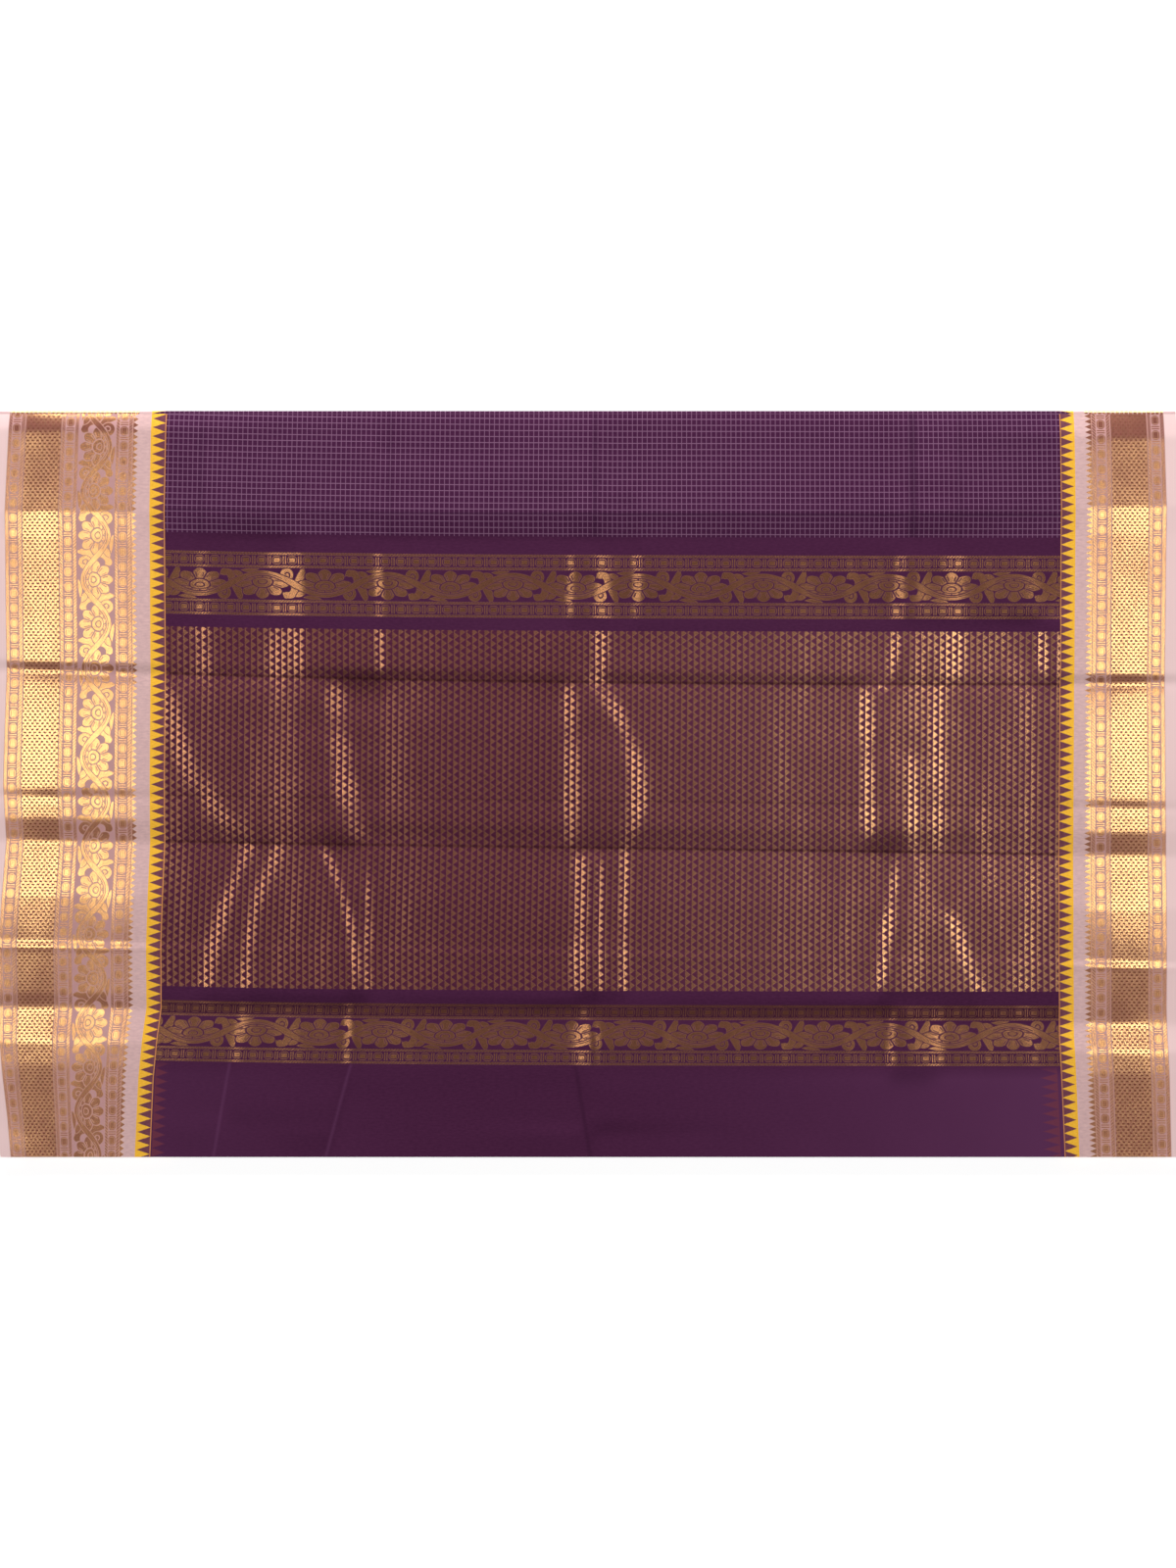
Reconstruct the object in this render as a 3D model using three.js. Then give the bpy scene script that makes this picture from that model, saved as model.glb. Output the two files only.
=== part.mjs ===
// A saree of 6.1 m by 1.21 m, folded to and fro into eight layers as wide as the cloth and laid flat.
// Its decorated end, the munthi, is uppermost and faces up. Millimetres, +Z up.
// X runs across the cloth, from the wide border to the narrow one, and Y along it, away from its end.
// The origin is on the table, under the middle of the folded cloth.
import * as THREE from "three";

// Driving sizes of the folded cloth
const CLOTH_WIDTH = 1210;
const FOLDED_LENGTH = 762;
const WALL = 1.2;
const SEAM_GAP = 0.3;
const LAYERS_UNDER = 7;
const LAYER_PITCH = 1.5;
const STACK_HEIGHT = LAYERS_UNDER * LAYER_PITCH;

// The top layer's height comes down to this share of itself along its two side edges
const SIDE_FALL = { share: 0.75, reach: 60 };

const FRONT = -FOLDED_LENGTH / 2;
const REAR = FOLDED_LENGTH / 2;
const REAR_TURN_RADIUS = 3;
const REAR_SEAM = REAR - REAR_TURN_RADIUS - SEAM_GAP;

// Woven strips across the cloth: the distance of each strip's two sides from the wide border's outer edge
const ACROSS = {
  wideSelvedge: { from: 0, to: 13 },
  wideZari: { from: 13, to: 149 },
  wideMargin: { from: 149, to: 161 },
  wideTemple: { from: 161, to: 176.5 },
  field: { from: 176.5, to: 1088 },
  narrowTemple: { from: 1088, to: 1103 },
  narrowMargin: { from: 1103, to: 1114 },
  narrowZari: { from: 1114, to: 1197 },
  narrowSelvedge: { from: 1197, to: CLOTH_WIDTH },
};

// Woven stretches along the field, as Y where the weft runs straight, from the fold at the back to the end
const ALONG = {
  checks: { from: REAR_SEAM, to: 251 },
  stripeUpper: { from: 251, to: 233 },
  bandUpper: { from: 233, to: 168 },
  stripeMiddle: { from: 168, to: 155 },
  brocade: { from: 155, to: -212 },
  stripeLower: { from: -212, to: -226 },
  bandLower: { from: -226, to: -288 },
  endStrip: { from: -288, to: FRONT },
};

// How far the cloth has slid sideways at each Y: at its two outer edges and at the field's two sides
const DRIFT = [
  { y: 381, wideEdge: 5, wideField: 1, narrowField: 0, narrowEdge: -3 },
  { y: 280, wideEdge: 0, wideField: -1, narrowField: 1, narrowEdge: 0 },
  { y: 116, wideEdge: 2, wideField: 0, narrowField: 0, narrowEdge: -2 },
  { y: 0, wideEdge: -2, wideField: -1, narrowField: -1, narrowEdge: -1 },
  { y: -58, wideEdge: 1, wideField: -1, narrowField: -1, narrowEdge: 0 },
  { y: -162, wideEdge: -7, wideField: -5, narrowField: -1, narrowEdge: 1 },
  { y: -228, wideEdge: -6, wideField: -5, narrowField: 0, narrowEdge: 1 },
  { y: -260, wideEdge: -6, wideField: -9, narrowField: 0, narrowEdge: 2 },
  { y: -300, wideEdge: -2, wideField: -13, narrowField: 2, narrowEdge: 4 },
  { y: -340, wideEdge: 3, wideField: -15, narrowField: 4, narrowEdge: 5 },
  { y: -381, wideEdge: 7, wideField: -17, narrowField: 6, narrowEdge: 6 },
];

// The weft bows away from the end by this much beside the wide border, and straightens across the field
const WEFT_BOW = { rise: 6, dieOut: 250 };

// The height of the top layer over the layers under it, pressed into panels by its packing. Each row is a
// crease or a bend across the cloth: its Y at the wide border's edge, in the middle and at the narrow edge,
// and its height in the two borders and in the field. The height runs straight from row to row.
const PANELS = [
  { left: 381, middle: 381, right: 381, border: 2.0, field: 2.0 },
  { left: 373, middle: 371, right: 368, border: 5.6, field: 4.4 },
  { left: 363, middle: 361, right: 354, border: 7.8, field: 5.2 },
  { left: 280, middle: 278, right: 285, border: 9.9, field: 9.8 },
  { left: 252, middle: 250, right: 256, border: 9.0, field: 5.6 },
  { left: 127, middle: 114, right: 112, border: 8.8, field: 7.4 },
  { left: 117, middle: 104, right: 103, border: 6.8, field: 4.8 },
  { left: 107, middle: 95, right: 94, border: 7.4, field: 5.6 },
  { left: 51, middle: 42, right: 38, border: 8.2, field: 7.1 },
  { left: -5, middle: -10, right: -18, border: 7.2, field: 6.8 },
  { left: -13, middle: -18, right: -26, border: 6.2, field: 6.4 },
  { left: -34, middle: -44, right: -50, border: 5.9, field: 6.0 },
  { left: -58, middle: -66, right: -74, border: 3.0, field: 2.0 },
  { left: -67, middle: -79, right: -87, border: 3.6, field: 2.9 },
  { left: -112, middle: -120, right: -128, border: 5.4, field: 4.6 },
  { left: -140, middle: -148, right: -158, border: 5.0, field: 4.9 },
  { left: -162, middle: -172, right: -185, border: 3.2, field: 3.6 },
  { left: -170, middle: -180, right: -192, border: 3.9, field: 4.1 },
  { left: -214, middle: -218, right: -224, border: 1.5, field: 3.2 },
  { left: -231, middle: -239, right: -244, border: 0.9, field: 0.5 },
  { left: -262, middle: -268, right: -274, border: 3.7, field: 3.6 },
  { left: -290, middle: -294, right: -298, border: 3.5, field: 3.4 },
  { left: -381, middle: -381, right: -381, border: 0.3, field: 0.3 },
];
const BLEND_FROM_SIDE = { wide: 150, narrow: 95, reach: 160 };
const LEAST_HEIGHT = { floor: 0.1, roundness: 0.6 };
const CORNER_CURL = { rise: 1.5, acrossSpread: 40, alongSpread: 30 };

// The broad soft folds that run along the cloth. Each is a step of the given rise from left to right, with
// its X at its back end, half way and at its front end. It relaxes over STEP_RELAXES on both sides.
const LONG_FOLDS = [
  { back: 262, front: 103, xBack: -314, xMiddle: -316, xFront: -318, halfWidth: 19, rise: 5.6 },
  { back: 381, front: 103, xBack: 17, xMiddle: 18, xFront: 14, halfWidth: 12, rise: -5 },
  { back: 381, front: 103, xBack: 324, xMiddle: 322, xFront: 310, halfWidth: 11, rise: 6.2 },
  { back: 381, front: 103, xBack: 377, xMiddle: 376, xFront: 373, halfWidth: 12, rise: -3.2 },
  { back: 170, front: 100, xBack: 464, xMiddle: 466, xFront: 468, halfWidth: 14, rise: 9 },
  { back: 100, front: -62, xBack: -428, xMiddle: -404, xFront: -348, halfWidth: 14, rise: 3.4 },
  { back: 100, front: -62, xBack: -256, xMiddle: -250, xFront: -230, halfWidth: 18, rise: -9.7 },
  { back: 108, front: -66, xBack: 8, xMiddle: 50, xFront: 42, halfWidth: 12, rise: -4.8 },
  { back: 100, front: -62, xBack: 286, xMiddle: 287, xFront: 289, halfWidth: 13, rise: 7.2 },
  { back: -60, front: -216, xBack: -272, xMiddle: -242, xFront: -238, halfWidth: 8, rise: -4.1 },
  { back: -70, front: -216, xBack: -6, xMiddle: -6, xFront: -6, halfWidth: 11, rise: 4.5 },
  { back: -68, front: -216, xBack: 318, xMiddle: 309, xFront: 298, halfWidth: 11, rise: 6.1 },
  { back: -228, front: -350, xBack: -3, xMiddle: -3, xFront: 0, halfWidth: 16, rise: 6.7 },
];
const STEP_RELAXES = 80;
const FOLD_END_FADE = 9;
// How far from each side edge the long folds have died out, before the borders' metallic threads
const FOLDS_FROM_SIDE = { wide: 145, narrow: 100, reach: 40 };

// Steps of the walls
const ACROSS_STEP = 26;
const ALONG_STEP = 20;
const ROW_GAP = 4;
const TURN_SIDES = 6;

// The folded edges of the layers under the top one, from the table up: how far each stands in from the top
// layer's edge at the wide border, the narrow border, the front and the back
const LAYER_INSETS = [
  { wide: 5, narrow: 3, front: 4, back: 1 },
  { wide: 2, narrow: 6, front: 4, back: 3 },
  { wide: 6, narrow: 4, front: 2, back: 3 },
  { wide: 3, narrow: 7, front: 2, back: 1 },
  { wide: 7, narrow: 3, front: 5, back: 1 },
  { wide: 4, narrow: 5, front: 5, back: 4 },
  { wide: 2, narrow: 2, front: 3, back: 4 },
];
const GROOVE_DEPTH = 2.5;
const STACK_CORNER = 5;
// One more station stands at this share of a corner's radius from the front and the back
const CORNER_STATION = 0.3;
const STACK_STEP = 60;

// Half of one layer's edge, from the groove under it up: the share of the pitch and how far it is pulled in
const EDGE_PROFILE = [
  { height: 0, pulledIn: GROOVE_DEPTH },
  { height: 0.3, pulledIn: 0 },
  { height: 0.75, pulledIn: 0.3 },
];

const COLOURS = {
  purple: 0x4c1f49,
  checks: 0x55305c,
  brocade: 0x6b3f35,
  gold: 0xd9a441,
  yellow: 0xe9b31e,
};

// Curves from 0 to 1 with level ends.
const smooth = (low, high, value) => THREE.MathUtils.smoothstep(value, low, high);
const bell = (distance, spread) => Math.exp(-((distance / spread) ** 2));
const lerp = THREE.MathUtils.lerp;

// The Y of the weft thread that would lie at along if it ran straight, at the distance across.
function weftY(across, along) {
  const inField = Math.max(across - ACROSS.field.from, 0);
  return along + WEFT_BOW.rise * Math.exp(-inField / WEFT_BOW.dieOut);
}

// The sideways slide of the cloth, straight between the rows of DRIFT and between its four columns.
function drift(across, y) {
  const last = DRIFT.length - 1;
  const found = DRIFT.findIndex((row) => row.y <= y);
  const below = Math.max(found < 0 ? last : found, 1);
  const above = below - 1;
  const part = THREE.MathUtils.clamp((DRIFT[above].y - y) / (DRIFT[above].y - DRIFT[below].y), 0, 1);
  const at = (column) => lerp(DRIFT[above][column], DRIFT[below][column], part);
  if (across < ACROSS.wideTemple.from) {
    return lerp(at("wideEdge"), at("wideField"), across / ACROSS.wideTemple.from);
  }
  if (across > ACROSS.field.to) {
    const share = (across - ACROSS.field.to) / (CLOTH_WIDTH - ACROSS.field.to);
    return lerp(at("narrowField"), at("narrowEdge"), share);
  }
  const share = (across - ACROSS.wideTemple.from) / (ACROSS.field.to - ACROSS.wideTemple.from);
  return lerp(at("wideField"), at("narrowField"), share);
}

// The Y of a crease at the distance across: a parabola through its three places.
function creaseY(crease, across) {
  const part = across / CLOTH_WIDTH;
  const bend = crease.middle - (crease.left + crease.right) / 2;
  return lerp(crease.left, crease.right, part) + bend * 4 * part * (1 - part);
}

// The height of the panels, straight between the two rows that y lies between.
function panelHeight(across, y) {
  const { wide, narrow, reach } = BLEND_FROM_SIDE;
  const intoField = smooth(wide, wide + reach, across);
  const inField = intoField * smooth(narrow, narrow + reach, CLOTH_WIDTH - across);
  const heightOf = (row) => lerp(row.border, row.field, inField);
  const found = PANELS.findIndex((row) => creaseY(row, across) <= y);
  const below = Math.max(found < 0 ? PANELS.length - 1 : found, 1);
  const high = PANELS[below - 1];
  const low = PANELS[below];
  const part = THREE.MathUtils.inverseLerp(creaseY(low, across), creaseY(high, across), y);
  return lerp(heightOf(low), heightOf(high), THREE.MathUtils.clamp(part, 0, 1));
}

// The height that one long fold adds: a narrow step less a wide one, fading at its two ends.
function foldHeight(fold, x, y) {
  const { back, front, xBack, xMiddle, xFront, halfWidth, rise } = fold;
  const part = THREE.MathUtils.clamp((back - y) / (back - front), 0, 1);
  const bend = xMiddle - (xBack + xFront) / 2;
  const away = x - lerp(xBack, xFront, part) - bend * 4 * part * (1 - part);
  const backFade = (Math.tanh((back - y) / FOLD_END_FADE) + 1) / 2;
  const frontFade = (Math.tanh((y - front) / FOLD_END_FADE) + 1) / 2;
  const step = Math.tanh(away / halfWidth) - Math.tanh(away / STEP_RELAXES);
  return (rise / 2) * step * backFade * frontFade;
}

// The height of the cloth over the layers under it, which never quite comes down to nothing.
function relief(across, x, y) {
  const toSide = Math.min(across, CLOTH_WIDTH - across);
  const settled = lerp(SIDE_FALL.share, 1, smooth(0, SIDE_FALL.reach, toSide));
  const nearCorner = bell(across, CORNER_CURL.acrossSpread) * bell(y - FRONT, CORNER_CURL.alongSpread);
  const allFolds = LONG_FOLDS.reduce((sum, fold) => sum + foldHeight(fold, x, y), 0);
  const { wide, narrow, reach } = FOLDS_FROM_SIDE;
  const fromWide = smooth(wide, wide + reach, across);
  const fromNarrow = smooth(narrow, narrow + reach, CLOTH_WIDTH - across);
  const folds = allFolds * fromWide * fromNarrow;
  const height = panelHeight(across, y) * settled + folds + CORNER_CURL.rise * nearCorner;
  const { floor, roundness } = LEAST_HEIGHT;
  return (height + floor + Math.sqrt((height - floor) ** 2 + roundness)) / 2;
}

// The point of the top layer's upper face under the thread at across and the weft at along.
function facePoint(across, along) {
  const y = THREE.MathUtils.clamp(weftY(across, along), FRONT, REAR_SEAM);
  const x = across - CLOTH_WIDTH / 2 + drift(across, y);
  const z = STACK_HEIGHT + SEAM_GAP + WALL + relief(across, x, y);
  return new THREE.Vector3(x, y, z);
}

// Evenly spaced stations from one value to another, both included.
const evenly = (from, to, count) => Array.from({ length: count + 1 }, (_, i) => lerp(from, to, i / count));
const stepsBetween = (from, to, step) => Math.max(1, Math.round(Math.abs(to - from) / step));
const stations = (from, to, step) => evenly(from, to, stepsBetween(from, to, step));

// The rows of a wall between two wefts at one distance across: the two wefts, the creases between them that
// keep clear of both, and more rows where two of these are far apart. Every distance across gives as many.
function rowsAlong(across, back, front) {
  const bow = weftY(across, 0);
  const middleBow = weftY(CLOTH_WIDTH / 2, 0);
  // The bow would carry the two outer ends past the fold and short of the end, so these stay straight.
  const first = back === REAR_SEAM ? back - bow : back;
  const last = front === FRONT ? front - bow : front;
  const rows = [{ along: first, middle: back }];
  for (const crease of PANELS) {
    const ys = [crease.left, crease.middle, crease.right];
    const clear = Math.min(...ys) - WEFT_BOW.rise > front + ROW_GAP && Math.max(...ys) < back - ROW_GAP;
    if (clear) rows.push({ along: creaseY(crease, across) - bow, middle: crease.middle - middleBow });
  }
  rows.push({ along: last, middle: front });
  const between = rows.slice(1).map((next, i) => {
    const count = stepsBetween(rows[i].middle, next.middle, ALONG_STEP);
    return evenly(rows[i].along, next.along, count).slice(1);
  });
  return [first, ...between.flat()];
}

// A closed shell from two grids of points, an upper and a lower one, with a rim of quads round them.
function closedShell(upper, lower) {
  const rows = upper.length;
  const columns = upper[0].length;
  const points = [...upper.flat(), ...lower.flat()];
  const under = rows * columns;
  const faces = [];
  const quad = (a, b, c, d) => faces.push(a, b, c, a, c, d);
  for (let row = 0; row + 1 < rows; row++) {
    for (let column = 0; column + 1 < columns; column++) {
      const here = row * columns + column;
      const next = here + columns;
      quad(here, next, next + 1, here + 1);
      quad(under + here, under + here + 1, under + next + 1, under + next);
    }
  }
  // The rim runs round the grid once, and joins each upper edge to the lower one under it.
  const rim = [];
  for (let column = 0; column + 1 < columns; column++) rim.push(column);
  for (let row = 0; row + 1 < rows; row++) rim.push(row * columns + columns - 1);
  for (let column = columns - 1; column > 0; column--) rim.push((rows - 1) * columns + column);
  for (let row = rows - 1; row > 0; row--) rim.push(row * columns);
  rim.forEach((here, i) => {
    const next = rim[(i + 1) % rim.length];
    quad(here, next, under + next, under + here);
  });
  return solidGeometry(points, faces);
}

function solidGeometry(points, faces) {
  const geometry = new THREE.BufferGeometry().setFromPoints(points);
  geometry.setIndex(faces);
  geometry.computeVertexNormals();
  return geometry;
}

function cloth(name, geometry, colour, metalness = 0) {
  const material = new THREE.MeshStandardMaterial({ color: colour, roughness: 0.75, metalness });
  const mesh = new THREE.Mesh(geometry, material);
  mesh.name = name;
  return mesh;
}

// One woven stretch of the top layer, as a wall between two strips' sides and two wefts.
function wovenWall(name, strip, stretch, colour, metalness) {
  const half = SEAM_GAP / 2;
  const outerLeft = strip.from === 0;
  const outerRight = strip.to === CLOTH_WIDTH;
  const left = strip.from + (outerLeft ? 0 : half);
  const right = strip.to - (outerRight ? 0 : half);
  const back = stretch.from - (stretch.from === REAR_SEAM ? 0 : half);
  const front = stretch.to + (stretch.to === FRONT ? 0 : half);
  const columns = stations(left, right, ACROSS_STEP).map((across) =>
    rowsAlong(across, back, front).map((along) => facePoint(across, along)),
  );
  const upper = columns[0].map((_, row) => columns.map((column) => column[row]));
  const lower = upper.map((row) => row.map((point) => point.clone().setZ(point.z - WALL)));
  return cloth(name, closedShell(upper, lower), colour, metalness);
}

// The section of the turn at the back at the distance across: half an ellipse, as high as the top layer.
function turnSection(across) {
  const seam = facePoint(across, REAR_SEAM - weftY(across, 0));
  const bottomZ = STACK_HEIGHT + SEAM_GAP;
  const middle = (seam.z + bottomZ) / 2;
  const halfHeight = (seam.z - bottomZ) / 2;
  return stations(Math.PI / 2, -Math.PI / 2, Math.PI / TURN_SIDES).map((angle) => {
    const y = REAR_SEAM + SEAM_GAP + REAR_TURN_RADIUS * Math.cos(angle);
    return new THREE.Vector3(seam.x, y, middle + halfHeight * Math.sin(angle));
  });
}

// The turn at the back, where the top layer goes down into the second one: a folded edge with a round back.
function rearTurn() {
  const rings = stations(0, CLOTH_WIDTH, ACROSS_STEP).map(turnSection);
  const sides = rings[0].length;
  const faces = [];
  for (let station = 0; station + 1 < rings.length; station++) {
    for (let side = 0; side < sides; side++) {
      const next = (side + 1) % sides;
      const a = station * sides + side;
      const b = station * sides + next;
      faces.push(a, b + sides, b, a, a + sides, b + sides);
    }
  }
  const lastRing = (rings.length - 1) * sides;
  for (let side = 1; side + 1 < sides; side++) {
    faces.push(0, side, side + 1, lastRing, lastRing + side + 1, lastRing + side);
  }
  return cloth("rear_fold", solidGeometry(rings.flat(), faces), COLOURS.checks);
}

// The edge of one layer under the top one, seen from above, as a closed loop that runs anticlockwise.
function layerLoop(insets, pulledIn) {
  const halfWidth = CLOTH_WIDTH / 2;
  const wide = insets.wide + pulledIn;
  const narrow = insets.narrow + pulledIn;
  const frontY = FRONT + insets.front + pulledIn;
  const backY = REAR - insets.back - pulledIn;
  const leftX = (y) => -halfWidth + drift(0, y) + wide;
  const rightX = (y) => halfWidth + drift(CLOTH_WIDTH, y) - narrow;
  // Close to a corner the side is pulled in along a quarter circle.
  const pull = (y) => {
    const short = Math.max(STACK_CORNER - Math.min(y - frontY, backY - y), 0);
    return STACK_CORNER - Math.sqrt(STACK_CORNER ** 2 - short ** 2);
  };
  const nearFront = frontY + STACK_CORNER * CORNER_STATION;
  const nearBack = backY - STACK_CORNER * CORNER_STATION;
  const ys = [nearFront, ...stations(frontY + STACK_CORNER, backY - STACK_CORNER, STACK_STEP), nearBack];
  const frontXs = stations(leftX(frontY) + STACK_CORNER, rightX(frontY) - STACK_CORNER, STACK_STEP);
  const backXs = stations(rightX(backY) - STACK_CORNER, leftX(backY) + STACK_CORNER, STACK_STEP);
  return [
    ...frontXs.map((x) => [x, frontY]),
    ...ys.map((y) => [rightX(y) - pull(y), y]),
    ...backXs.map((x) => [x, backY]),
    ...ys.reverse().map((y) => [leftX(y) + pull(y), y]),
  ];
}

// The layers under the top one: one solid, rounded at each layer's edge, with a groove between layers.
function foldedLayers() {
  const loops = [];
  LAYER_INSETS.forEach((insets, layer) => {
    for (const { height, pulledIn } of EDGE_PROFILE) {
      loops.push({ z: (layer + height) * LAYER_PITCH, loop: layerLoop(insets, pulledIn) });
    }
  });
  const topInsets = LAYER_INSETS[LAYERS_UNDER - 1];
  loops.push({ z: STACK_HEIGHT, loop: layerLoop(topInsets, GROOVE_DEPTH) });
  const points = loops.flatMap(({ z, loop }) => loop.map(([x, y]) => new THREE.Vector3(x, y, z)));
  const sides = loops[0].loop.length;
  const faces = [];
  for (let ring = 0; ring + 1 < loops.length; ring++) {
    for (let side = 0; side < sides; side++) {
      const a = ring * sides + side;
      const b = ring * sides + ((side + 1) % sides);
      faces.push(a, b, b + sides, a, b + sides, a + sides);
    }
  }
  const under = points.push(new THREE.Vector3(0, 0, 0)) - 1;
  const over = points.push(new THREE.Vector3(0, 0, STACK_HEIGHT)) - 1;
  const lastRing = (loops.length - 1) * sides;
  for (let side = 0; side < sides; side++) {
    const next = (side + 1) % sides;
    faces.push(under, next, side, over, lastRing + side, lastRing + next);
  }
  return cloth("folded_layers", solidGeometry(points, faces), COLOURS.purple);
}

const wholeLength = { from: REAR_SEAM, to: FRONT };
const wideBorder = { from: ACROSS.wideSelvedge.from, to: ACROSS.wideMargin.to };
const narrowBorder = { from: ACROSS.narrowMargin.from, to: ACROSS.narrowSelvedge.to };

const saree = new THREE.Group();
saree.add(
  foldedLayers(),
  rearTurn(),
  wovenWall("wide_border", wideBorder, wholeLength, COLOURS.gold, 0.6),
  wovenWall("wide_temple_edge", ACROSS.wideTemple, wholeLength, COLOURS.yellow),
  wovenWall("checked_field", ACROSS.field, ALONG.checks, COLOURS.checks),
  wovenWall("munthi_stripe_upper", ACROSS.field, ALONG.stripeUpper, COLOURS.purple),
  wovenWall("munthi_band_upper", ACROSS.field, ALONG.bandUpper, COLOURS.gold, 0.6),
  wovenWall("munthi_stripe_middle", ACROSS.field, ALONG.stripeMiddle, COLOURS.purple),
  wovenWall("munthi_brocade", ACROSS.field, ALONG.brocade, COLOURS.brocade, 0.4),
  wovenWall("munthi_stripe_lower", ACROSS.field, ALONG.stripeLower, COLOURS.purple),
  wovenWall("munthi_band_lower", ACROSS.field, ALONG.bandLower, COLOURS.gold, 0.6),
  wovenWall("munthi_end", ACROSS.field, ALONG.endStrip, COLOURS.purple),
  wovenWall("narrow_temple_edge", ACROSS.narrowTemple, wholeLength, COLOURS.yellow),
  wovenWall("narrow_border", narrowBorder, wholeLength, COLOURS.gold, 0.6),
);

export default saree;
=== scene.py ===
import math

import bpy
import numpy as np
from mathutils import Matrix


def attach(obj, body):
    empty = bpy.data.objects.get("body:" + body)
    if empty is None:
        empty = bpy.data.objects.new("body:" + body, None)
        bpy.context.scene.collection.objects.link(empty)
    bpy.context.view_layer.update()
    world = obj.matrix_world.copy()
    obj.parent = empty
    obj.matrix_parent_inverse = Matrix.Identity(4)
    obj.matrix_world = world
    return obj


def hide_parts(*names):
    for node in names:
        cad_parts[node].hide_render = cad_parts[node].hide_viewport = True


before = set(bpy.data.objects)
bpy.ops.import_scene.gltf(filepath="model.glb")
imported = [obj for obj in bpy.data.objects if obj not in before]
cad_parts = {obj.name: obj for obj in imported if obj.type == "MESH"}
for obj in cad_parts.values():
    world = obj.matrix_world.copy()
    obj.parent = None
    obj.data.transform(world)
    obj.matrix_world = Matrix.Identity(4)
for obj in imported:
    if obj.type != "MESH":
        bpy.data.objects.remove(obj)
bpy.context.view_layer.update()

# The camera looks straight down on the cloth. Its picture is 1.2 m wide and 1.6 m high on the cloth.
PICTURE_HEIGHT = 1.6
PICTURE_CENTRE_X = 0.002
LENS, SENSOR = 85.0, 36.0
CLOTH_TOP = 0.016

eye = bpy.data.cameras.new("eye")
eye.lens, eye.sensor_width = LENS, SENSOR
eye_object = bpy.data.objects.new("eye", eye)
eye_object.location = (PICTURE_CENTRE_X, 0.0, CLOTH_TOP + PICTURE_HEIGHT * LENS / SENSOR)
bpy.context.collection.objects.link(eye_object)
bpy.context.scene.camera = eye_object
bpy.context.scene.view_settings.view_transform = "Standard"

# The surface under the cloth: a plain white table, wide enough to fill the picture. Two soft boxes light it
# from the left and from the right, a low window from behind, and the room adds a dim glow.
TABLE_SIZE = 12.0
TABLE_WHITE = (0.93, 0.93, 0.93, 1.0)
TABLE_ROUGHNESS, TABLE_SPECULAR, TABLE_GLOW = 0.9, 0.1, 0.5
ROOM_COLOUR, ROOM_GLOW = (1.0, 0.985, 0.97, 1.0), 0.06
BOX_DISTANCE, BOX_LEAN = 5.0, math.radians(26)
BOX_WIDTH, BOX_DEPTH, BOX_POWER = 1.5, 1.2, 66.0
WINDOW_DISTANCE, WINDOW_LEAN, WINDOW_SIZE, WINDOW_POWER = 5.0, math.radians(68), 2.4, 330.0

table_mesh = bpy.data.meshes.new("table")
half = TABLE_SIZE / 2
corners = [(-half, -half, 0), (half, -half, 0), (half, half, 0), (-half, half, 0)]
table_mesh.from_pydata(corners, [], [(0, 1, 2, 3)])
table = bpy.data.objects.new("table", table_mesh)
bpy.context.collection.objects.link(table)
table_white = bpy.data.materials.new("table_white")
table_white.use_nodes = True
white = table_white.node_tree.nodes["Principled BSDF"]
white.inputs["Base Color"].default_value = TABLE_WHITE
white.inputs["Roughness"].default_value = TABLE_ROUGHNESS
white.inputs["Specular IOR Level"].default_value = TABLE_SPECULAR
white.inputs["Emission Color"].default_value = (1.0, 1.0, 1.0, 1.0)
white.inputs["Emission Strength"].default_value = TABLE_GLOW
table_mesh.materials.append(table_white)

room = bpy.data.worlds.new("room")
bpy.context.scene.world = room
room.use_nodes = True
glow = room.node_tree.nodes["Background"]
glow.inputs["Color"].default_value = ROOM_COLOUR
glow.inputs["Strength"].default_value = ROOM_GLOW

for side, name in ((-1, "soft_box_left"), (1, "soft_box_right")):
    light = bpy.data.lights.new(name, "AREA")
    light.shape, light.size, light.size_y = "RECTANGLE", BOX_WIDTH, BOX_DEPTH
    light.energy = BOX_POWER
    box = bpy.data.objects.new(name, light)
    box.location = (side * BOX_DISTANCE * math.sin(BOX_LEAN), 0.0, BOX_DISTANCE * math.cos(BOX_LEAN))
    box.rotation_euler = (0.0, side * BOX_LEAN, 0.0)
    bpy.context.collection.objects.link(box)

window_light = bpy.data.lights.new("back_window", "AREA")
window_light.shape, window_light.size, window_light.energy = "SQUARE", WINDOW_SIZE, WINDOW_POWER
window = bpy.data.objects.new("back_window", window_light)
window.location = (0.0, WINDOW_DISTANCE * math.sin(WINDOW_LEAN), WINDOW_DISTANCE * math.cos(WINDOW_LEAN))
window.rotation_euler = (-WINDOW_LEAN, 0.0, 0.0)
bpy.context.collection.objects.link(window)

# The wide border: a strip of metallic warp threads on a pale mauve ground, woven along one edge of the
# cloth, with ropes, chains of roundels, a brick mesh and a flowering vine between its plain margins.
# Sizes of the cloth are in millimetres: across from the wide border's edge, along away from the cloth's end.
CLOTH_WIDTH, FOLDED_LENGTH = 1210.0, 762.0
FRONT, REAR = -FOLDED_LENGTH / 2, FOLDED_LENGTH / 2
# The top layer ends where the turn at the back begins.
TURN_REACH = 3.3
REAR_SEAM = REAR - TURN_REACH
FACE_REST = 12.0
SHELL = 0.5
GRID_STEP = 3.0
WIDE_BORDER_WIDTH = 161.0
FIELD_FROM, FIELD_TO = 176.5, 1088.0
# The weft bows back beside the wide border, and less and less across the field.
BOW_BACK, BOW_DIES_OUT = 6.0, 250.0

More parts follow.
